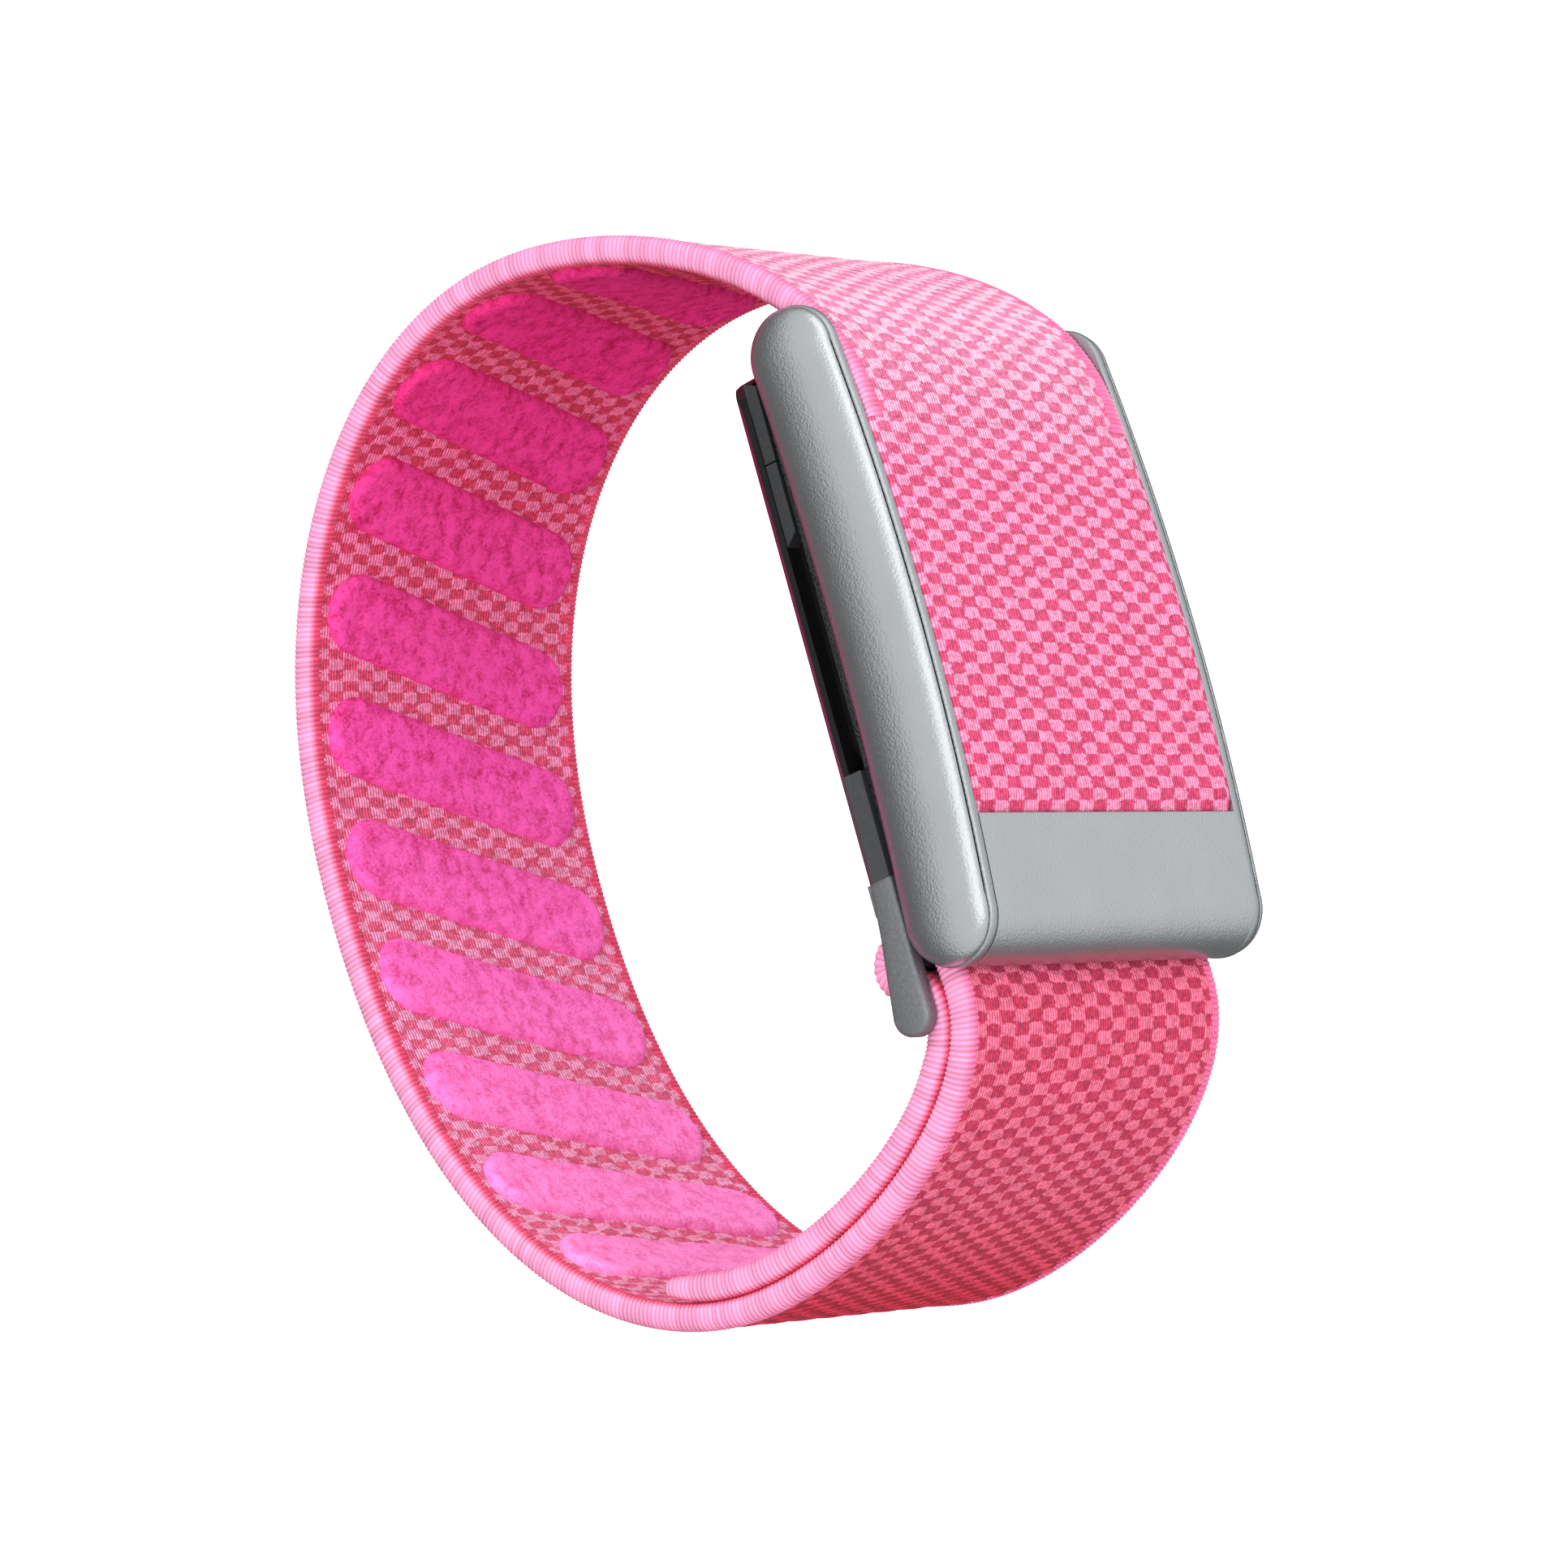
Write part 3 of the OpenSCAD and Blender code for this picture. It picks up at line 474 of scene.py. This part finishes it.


# ---- Grip pads ----
# Eleven slanted pads of brushed microfibre pile, 5 by 22 mm, bonded to the wrist face. The pile
# is 0.5 mm deep, rounds off at the pad's edge and is mottled where it is brushed down, with
# painted shade where its bump is low.
def pile(name, bright, deep):
    """Brushed nylon microfibre: matt, deep magenta in the hollows of its bump as painted shade, and
    pale at the fibres' tips. bright and deep list the tips' and the hollows' colours from the hinge
    end to the buckle end, darker at the hinge end as painted shade."""
    made, tree, shader = material(name, Roughness=0.95, Sheen_Weight=0.04, Sheen_Roughness=0.3,
        Sheen_Tint=linear("#ff8ad0"), Specular_IOR_Level=0.04)
    place = add(tree, "ShaderNodeTexCoord").outputs["Object"]
    # Brushed patches about 1 mm across, and fibres 0.15 mm thick, coarser than the real ones
    patches = add(tree, "ShaderNodeTexNoise", {"Vector": place, "Scale": 1100, "Detail": 4,
        "Roughness": 0.7})
    stretched = add(tree, "ShaderNodeMapping", {"Vector": place, "Scale": (1.0, 0.6, 1.0),
        "Rotation": (0, 0, 0.5)})
    fibres = add(tree, "ShaderNodeTexNoise", {"Vector": stretched.outputs[0], "Scale": 6500,
        "Detail": 2, "Roughness": 0.7})
    both = add(tree, "ShaderNodeMath", {0: fibres.outputs["Fac"], 1: 0.55,
        2: patches.outputs["Fac"]}, operation="MULTIPLY_ADD")
    # Deeper colour where the bump is low: painted shade in the pile's hollows, over its brushed
    # patches
    mottle = add(tree, "ShaderNodeMapRange", {"Value": both.outputs[0],
        "From Min": 0.54, "From Max": 0.86})
    x = add(tree, "ShaderNodeSeparateXYZ", {0: place}).outputs[0]
    far = add(tree, "ShaderNodeMapRange", {"Value": x,
        "From Min": -0.028, "From Max": 0.028}).outputs[0]
    # From the hinge end to the buckle end the colours lighten: painted shade on the pads near the
    # hinge
    hollows, tips = (add(tree, "ShaderNodeValToRGB", {"Fac": far}, stops=dye_and_painted_light).outputs[0]
        for dye_and_painted_light in (deep, bright))
    colour = add(tree, "ShaderNodeMix", {"Factor": mottle.outputs[0], "A": hollows, "B": tips},
        data_type="RGBA")
    tree.links.new(colour.outputs[2], shader.inputs["Base Color"])
    bump = add(tree, "ShaderNodeBump", {"Strength": 0.8, "Distance": 0.00015,
        "Height": both.outputs[0]})
    tree.links.new(bump.outputs[0], shader.inputs["Normal"])
    return made


pad_pile = pile("magenta_pile",
    [(0, "#f03a8c"), (0.35, "#f456b0"), (0.6, "#fb72c6"), (1, "#ff98d8")],
    [(0, "#b4144a"), (0.35, "#c02460"), (0.6, "#d0407e"), (1, "#e868a8")])
rng = np.random.default_rng(11)
waves = rng.normal(0, 3.2, (24, 2))
phases = rng.uniform(0, 2 * math.pi, 24)


def tufts(p, q):
    """Uneven pile: the mean of 24 sine waves in random directions, 1 to 6 mm long."""
    return np.sin(p[..., None] * waves[:, 0] + q[..., None] * waves[:, 1] + phases).mean(-1)


# A pad's straight half length, the radius of its ends, and its slant; the pile's depth, how far
# its tufts stand out of it and how far in from its edge it rounds off, in millimetres
PAD_HALF, PAD_R, PAD_SLANT = 10.9 - 2.5, 2.5, math.radians(15)
PILE_DEPTH, TUFT_DEPTH, PILE_ROUND = 0.55, 0.18, 0.7
FIRST_PAD, PAD_PITCH, PADS = 28.9, 7.55, 11
pad_s = shoulder_s + FIRST_PAD + PAD_PITCH * np.arange(PADS)
for number, middle in enumerate(pad_s, 1):
    # p runs along the pad and q across it, both closer together near the edge
    q = PAD_R * np.sin(np.linspace(-math.pi / 2, math.pi / 2, 23))
    reach = PAD_HALF + np.sqrt(np.maximum(PAD_R ** 2 - q ** 2, 0))
    p = np.sin(np.linspace(-math.pi / 2, math.pi / 2, 61)) * reach[:, None]
    p = 0.6 * p + 0.4 * np.linspace(-1, 1, 61) * reach[:, None]
    q = q[:, None] + 0 * p
    edge_gap = PAD_R - np.hypot(np.maximum(np.abs(p) - PAD_HALF, 0), q)
    crown = PILE_DEPTH * (1 - (1 - np.clip(edge_gap / PILE_ROUND, 0, 1)) ** 2.4) ** 0.7
    lift = crown + TUFT_DEPTH * tufts(p, q + 9 * number) * np.clip(edge_gap / 0.5, 0, 1)
    ragged = 0.06 * tufts(3 * p + number, 3 * q) * (edge_gap < 0.05)
    y = (p * math.cos(PAD_SLANT) - q * math.sin(PAD_SLANT)) * (1 + ragged / 5)
    s = middle + (p * math.sin(PAD_SLANT) + q * math.cos(PAD_SLANT)) * (1 + ragged / 5)
    top = on_strap(s, y, -(band_t / 2 - 0.05 + lift))
    under = on_strap(s, y, -(band_t / 2 - 0.15))[:, ::-1]
    pad = surface(f"grip_pad_{number}", np.concatenate([top, under], 1), q[:, 0],
        np.concatenate([p[0], p[0][::-1], p[0][:1]]))
    pad.data.materials.append(pad_pile)
    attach(pad, "pod_and_strap")
    if number == 1:
        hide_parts("grip_pads")


# ---- Hook patch ----
# A thin nylon patch bonded to the free end of the strap, on the side that faces the loop. Its
# moulded hooks stand in rows 0.8 mm apart, coarser than the real 0.4 mm, and grip the knit.

# Each hook is the product of two sines, squared, 0.4 mm square at its foot and 0.1 mm high
HOOK_FOOT, HOOK_HEIGHT = 0.4, 0.1
patch_s = np.arange(strap_end - 6.2, strap_end - 0.8, 0.1)
patch_y = np.arange(-9.4, 9.45, 0.1)
hooks = np.sin(math.pi * patch_s / HOOK_FOOT)[:, None] * np.sin(math.pi * patch_y / HOOK_FOOT)
hooks = np.clip(hooks, 0, 1) ** 2
patch_face = on_strap(patch_s[:, None], patch_y, -(band_t / 2 - 0.01 + HOOK_HEIGHT * hooks))
patch_back = on_strap(patch_s[:, None], patch_y[::-1], -(band_t / 2 - 0.15) + 0 * hooks)
patch = surface("hook_patch_nylon", np.concatenate([patch_face, patch_back], 1), patch_s,
    np.concatenate([patch_y, patch_y[::-1], patch_y[:1]]))
# Moulded nylon, dyed pink: half-gloss, with an uneven dye
hook_nylon, hook_tree, hook_shader = material("moulded_hook_nylon", Roughness=0.4, IOR=1.53)
place = add(hook_tree, "ShaderNodeTexCoord").outputs["Object"]
uneven = add(hook_tree, "ShaderNodeTexNoise", {"Vector": place, "Scale": 400})
dyed = add(hook_tree, "ShaderNodeValToRGB", {"Fac": uneven.outputs["Fac"]},
    stops=[(0.3, "#d8487e"), (0.7, "#ee6a9e")])
hook_tree.links.new(dyed.outputs[0], hook_shader.inputs["Base Color"])
patch.data.materials.append(hook_nylon)
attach(patch, "pod_and_strap")
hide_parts("hook_patch")


# ---- Clasp rims and covers ----
# Each side rail is a thin aluminium plate beside the strap, with a domed cover outside it.
# Both are bead-blasted and anodised grey; a fine groove parts them.
def blasted(name, colour, roughness=0.3):
    """Bead-blasted metal, such as grey anodised aluminium: satin, with an even grain. The real
    grain is near 0.05 mm and is drawn at about 0.15 mm so that it shows."""
    made, tree, shader = material(name, Metallic=1.0, Roughness=roughness)
    place = add(tree, "ShaderNodeTexCoord").outputs["Object"]
    grit = add(tree, "ShaderNodeTexNoise", {"Vector": place, "Scale": 7000, "Detail": 2})
    cloud = add(tree, "ShaderNodeTexNoise", {"Vector": place, "Scale": 300, "Detail": 2})
    tone = add(tree, "ShaderNodeMapRange", {"Value": cloud.outputs["Fac"],
        "To Min": 0.94, "To Max": 1.05})
    tint = add(tree, "ShaderNodeVectorMath", {0: linear(colour)[:3], "Scale": tone.outputs[0]},
        operation="SCALE")
    tree.links.new(tint.outputs[0], shader.inputs["Base Color"])
    worn = add(tree, "ShaderNodeMapRange", {"Value": grit.outputs["Fac"],
        "To Min": roughness - 0.06, "To Max": roughness + 0.08})
    tree.links.new(worn.outputs[0], shader.inputs["Roughness"])
    bump = add(tree, "ShaderNodeBump", {"Strength": 0.5, "Distance": 0.00006,
        "Height": grit.outputs["Fac"]})
    tree.links.new(bump.outputs[0], shader.inputs["Normal"])
    return made


clasp_metal = blasted("bead_blasted_aluminium", "#b9bdbf")
# The rim is the cover's metal painted a little darker, as painted shade, and the groove's floor is
# painted dark grey as painted shade in the groove.
rim_metal_painted_shade = blasted("bead_blasted_rim_painted_shade", "#aab0b2", 0.38)
groove_metal_painted_shade = blasted("groove_painted_shade", "#4c5356", 0.5)
# A rail's round ends stand on the hinge line and its mirror image. rail_in is its face beside the
# strap, rail_mid the groove between rim and cover, and rail_out the top of the dome. The rail is
# RAIL_HEIGHT high at mid-length
rail_lo, rail_hi = corners("frame_left")
end_x = -hinge_x
end_r = rail_hi[0] - end_x
rail_in, rail_mid = -rail_hi[1], -rail_lo[1]
rail_out = -corners("cover_left")[0][1]
RAIL_HEIGHT = 6
low_z, rail_tip = rim_z - RAIL_HEIGHT, hinge_z + end_r


def rail_top(x, inset):
    """Upper edge of a rail: a parabola from the rim at mid-length to the top of the round end."""
    return rail_tip - inset + (rim_z - rail_tip) * (1 - (x / end_x) ** 2)


def rail_under(x, inset):
    """Lower edge of a rail: a parabola from the rim's foot to the bottom of the round end."""
    return hinge_z - end_r + inset + (low_z - hinge_z + end_r) * (1 - (x / end_x) ** 2)


def rail_outline(inset, n=60):
    """Closed outline of a rail: its upper edge, the round tip, the lower edge and the heel."""
    r = end_r - inset
    x = np.linspace(-end_x, end_x, n)
    a = np.radians(np.linspace(90, -90, 26)[1:-1])
    tip = np.stack([end_x + r * np.cos(a), hinge_z + r * np.sin(a)], 1)
    heel = np.stack([-end_x - r * np.cos(a), hinge_z - r * np.sin(a)], 1)
    return np.concatenate([np.stack([x, rail_top(x, inset)], 1), tip,
        np.stack([x[::-1], rail_under(x[::-1], inset)], 1), heel])


def plate(name, outline, levels, side, sharp=40):
    """A flat piece from an outline drawn at a list of (inset, distance from the middle)."""
    rings = []
    for inset, y in levels:
        rings.append(np.insert(outline(inset), 1, side * y, 1))
    points = np.stack(rings)
    v = np.arange(points.shape[1] + 1) / points.shape[1]
    return surface(name, points, np.arange(len(levels)), v, sharp=sharp)


def cover(name, side):
    """Domed cover: a rail-shaped sheet whose rise falls as sqrt(1 - rho^2.2) from the ridge to
    the edge, where rho is 0 on the rail's middle line and 1 on its outline."""
    inset, base = 0.1, rail_mid + 0.16
    r, rise = end_r - inset, rail_out - base + 0.1
    w = np.sin(np.linspace(-math.pi / 2, math.pi / 2, 31))
    tip = np.sin(np.linspace(0, math.pi / 2, 15))[1:]
    reach = r * np.sqrt(np.maximum(1 - w ** 2, 0))[:, None]
    x = np.concatenate([-end_x - reach * tip[::-1], np.linspace(-end_x, end_x, 90) + 0 * reach,
        end_x + reach * tip], 1)
    past = np.maximum(np.abs(x) - end_x, 0) / r
    flat_x = np.clip(x, -end_x, end_x)
    share = (w[:, None] + 1) / 2
    z = rail_under(flat_x, inset) * (1 - share) + rail_top(flat_x, inset) * share
    rho = np.clip(np.hypot(past, w[:, None]), 0, 1)
    y = side * (base + rise * (1 - rho ** 2.2) ** 0.5)
    front = np.stack([x, y, z], -1)
    behind = np.stack([x, side * (base - 0.06) + 0 * x, z], -1)[:, ::-1]
    v = np.concatenate([x[15], x[15][::-1], x[15][:1]])
    return surface(name, np.concatenate([front, behind], 1), 3 * w, v, sharp=50)


for side_name, side in (("left", -1), ("right", 1)):
    rim_levels = [(0.08, rail_in), (0.02, rail_in + 0.03), (0, rail_in + 0.08),
        (0, rail_mid - 0.14), (0.04, rail_mid - 0.05), (0.14, rail_mid)]
    rim = plate(f"rim_{side_name}", rail_outline, rim_levels, side)
    rim.data.materials.append(rim_metal_painted_shade)
    groove = plate(f"groove_{side_name}", rail_outline,
        [(0.32, rail_mid - 0.1), (0.32, rail_mid + 0.14)], side)
    groove.data.materials.append(groove_metal_painted_shade)
    dome = cover(f"domed_cover_{side_name}", side)
    dome.data.materials.append(clasp_metal)
    for piece in (rim, groove, dome):
        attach(piece, "clasp")
    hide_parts(f"frame_{side_name}")
    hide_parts(f"cover_{side_name}")


# ---- Front plate ----
# One aluminium plate bridges the rails at the buckle end. It follows their outline over the top,
# rolls round the tip and ends in a thin lip over the strap; same blasted finish.

# Its section runs along the top from the edge over the strap, round the tip to the lip, and back
# along the underside
PLATE_T = 0.8
x = np.linspace(plate_x + 0.12, end_x, 24)
a = np.radians(np.linspace(90, 2, 30)[1:])
plate_top = rail_top(plate_x, 0)
plate_section = np.concatenate([
    [[plate_x, plate_top - 0.5], [plate_x, plate_top - 0.1], [plate_x + 0.04, plate_top - 0.03]],
    np.stack([x, rail_top(x, 0)], 1),
    np.stack([end_x + end_r * np.cos(a), hinge_z + end_r * np.sin(a)], 1),
    [[end_x + end_r - 0.02, hinge_z - 0.3], [end_x + end_r - 0.12, hinge_z - 0.4],
        [end_x + 0.6, hinge_z - 0.4], [end_x + 0.6, hinge_z + 0.4]],
    np.stack([end_x + (end_r - PLATE_T) * np.cos(a[::-1]),
        hinge_z + (end_r - PLATE_T) * np.sin(a[::-1])], 1)[8:],
    np.stack([x[::-1], rail_top(x[::-1], 0) - PLATE_T], 1)])
levels = np.array([-rail_in + 0.02, -rail_in + 0.1, 0, rail_in - 0.1, rail_in - 0.02])
points = np.stack([np.insert(plate_section, 1, y, 1) for y in levels])
front_plate = surface("front_bridge", points, levels, np.arange(len(plate_section) + 1), sharp=35)
front_plate.data.materials.append(clasp_metal)
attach(front_plate, "clasp")
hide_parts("front_plate")


# ---- Pod shells and end cap ----
# The pod's two shells are moulded in gloss black polycarbonate, and the cap that closes its
# buckle end in matt dark grey. Their shapes are the solid ones, and only the finish is new.
def gloss_plastic(name, colour, roughness):
    """Moulded polycarbonate: smooth, with the faint ripple that a polished mould leaves."""
    made, tree, shader = material(name, Roughness=roughness, IOR=1.58, Specular_IOR_Level=0.3)
    place = add(tree, "ShaderNodeTexCoord").outputs["Object"]
    ripple = add(tree, "ShaderNodeTexNoise", {"Vector": place, "Scale": 150, "Detail": 1})
    tone = add(tree, "ShaderNodeMapRange", {"Value": ripple.outputs["Fac"],
        "To Min": 0.9, "To Max": 1.1})
    tint = add(tree, "ShaderNodeVectorMath", {0: linear(colour)[:3], "Scale": tone.outputs[0]},
        operation="SCALE")
    tree.links.new(tint.outputs[0], shader.inputs["Base Color"])
    bump = add(tree, "ShaderNodeBump", {"Strength": 0.1, "Distance": 0.00003,
        "Height": ripple.outputs["Fac"]})
    tree.links.new(bump.outputs[0], shader.inputs["Normal"])
    return made


def spark_texture(name, colour, roughness, metallic):
    """A sprayed or spark-eroded surface: even grains that break up the light. They are drawn at
    about 0.2 mm, coarser than the real 0.05 mm, so that they show."""
    made, tree, shader = material(name, Roughness=roughness, Metallic=metallic)
    place = add(tree, "ShaderNodeTexCoord").outputs["Object"]
    grit = add(tree, "ShaderNodeTexNoise", {"Vector": place, "Scale": 4500, "Detail": 3,
        "Roughness": 0.6})
    tone = add(tree, "ShaderNodeMapRange", {"Value": grit.outputs["Fac"],
        "From Min": 0.3, "From Max": 0.7, "To Min": 0.88, "To Max": 1.12})
    tint = add(tree, "ShaderNodeVectorMath", {0: linear(colour)[:3], "Scale": tone.outputs[0]},
        operation="SCALE")
    tree.links.new(tint.outputs[0], shader.inputs["Base Color"])
    bump = add(tree, "ShaderNodeBump", {"Strength": 0.7, "Distance": 0.00004,
        "Height": grit.outputs["Fac"]})
    tree.links.new(bump.outputs[0], shader.inputs["Normal"])
    return made


def finish_node(name, finish):
    """A solid part keeps its shape and takes one finish in place of its plain colour."""
    frame["nodes"][name].data.materials.clear()
    frame["nodes"][name].data.materials.append(finish)


pod_black = gloss_plastic("gloss_black_polycarbonate", "#101012", 0.22)
cap_grey = spark_texture("matt_grey_polycarbonate", "#363739", 0.55, 0.0)
finish_node("lower_case", pod_black)
finish_node("upper_case", pod_black)
finish_node("end_cap", cap_grey)


# ---- Buckle arms ----
# The buckle's two arms reach past the end of the clasp on either side of the strap. They are
# pressed from textured grey sheet and tumbled, so every edge is round and catches the light.
def grown(ring, inset):
    """A closed ring moved inwards by inset along the mean normal of its two edges at each point,
    divided by the cosine of half the turn there so that the edges stay parallel."""
    edge_run = np.roll(ring, -1, 0) - ring
    edge_run /= np.linalg.norm(edge_run, axis=1)[:, None]
    normal = np.stack([edge_run[:, 1], -edge_run[:, 0]], 1)
    both = normal + np.roll(normal, 1, 0)
    return ring + inset * 2 * both / np.sum(both ** 2, 1)[:, None]


buckle_metal = spark_texture("textured_grey_metal", "#7d7e81", 0.5, 0.7)
arm_lo, arm_hi = corners("buckle_frame")
# The radius of an arm's tip, and the arm's two faces, from the strap's middle
TIP_R, ARM_IN, ARM_OUT = 1.15, 12.1, 13.0
tip_a = np.radians(np.linspace(-90, 90, 19))
arm = np.concatenate([
    [[arm_lo[0], arm_hi[2] - 1.35], [arm_lo[0] + 3, arm_hi[2] - 1.65]],
    np.stack([arm_hi[0] - TIP_R + TIP_R * np.cos(tip_a),
        arm_hi[2] - TIP_R + TIP_R * np.sin(tip_a)], 1),
    [[arm_lo[0], arm_hi[2]]]])[::-1]
arm_levels = [(0.12, ARM_IN - 0.03), (0, ARM_IN), (-0.08, ARM_IN + 0.1), (-0.08, ARM_OUT - 0.1),
    (-0.05, ARM_OUT), (0.05, ARM_OUT + 0.09), (0.2, ARM_OUT + 0.13)]
for side_name, side in (("near", -1), ("far", 1)):
    piece = plate(f"buckle_arm_{side_name}", lambda inset: grown(arm, inset), arm_levels, side,
        sharp=60)
    piece.data.materials.append(buckle_metal)
    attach(piece, "pod_and_strap")


# ---- Every other solid ----
# The pieces inside the pod, the carrier, the tab, the screws and the pins keep their solid
# shapes. Each gets the finish of what it is made of.
steel = blasted("plain_steel", "#b9bbbe", 0.3)
dark_metal = spark_texture("dark_sprayed_metal", "#3e4042", 0.5, 0.6)
inner_black = gloss_plastic("black_moulded_plastic", "#1b1b1d", 0.5)
board_green = gloss_plastic("solder_mask", "#14532f", 0.35)
copper = blasted("gilt_copper", "#d8a24a", 0.3)
foil = blasted("cell_foil", "#c4c7cb", 0.25)
seal = gloss_plastic("seal_rubber", "#2b2b2d", 0.7)
lens = gloss_plastic("tinted_resin_window", "#101a18", 0.05)
FINISHES = {
    "case_gasket": seal, "sensor_window": lens, "light_baffle": inner_black,
    "inner_frame": inner_black, "sensor_board": board_green, "sensor_leds": foil,
    "photodiodes": inner_black, "main_board": board_green,
    "main_chips": inner_black, "shield_can": steel, "battery_cell": foil, "battery_flex": copper,
    "haptic_motor": steel, "antenna": copper, "charge_contacts": copper, "skin_temp_sensor": steel,
    "hinge_carrier": dark_metal, "snap_tongues": dark_metal, "buckle_frame": buckle_metal,
    "buckle_screws": steel, "strap_bar": buckle_metal, "hinge_pins": steel,
    "frame_screws": steel, "strap_end_tab": dark_metal, "tab_rivets": steel,
}
for name, finish in FINISHES.items():
    finish_node(name, finish)
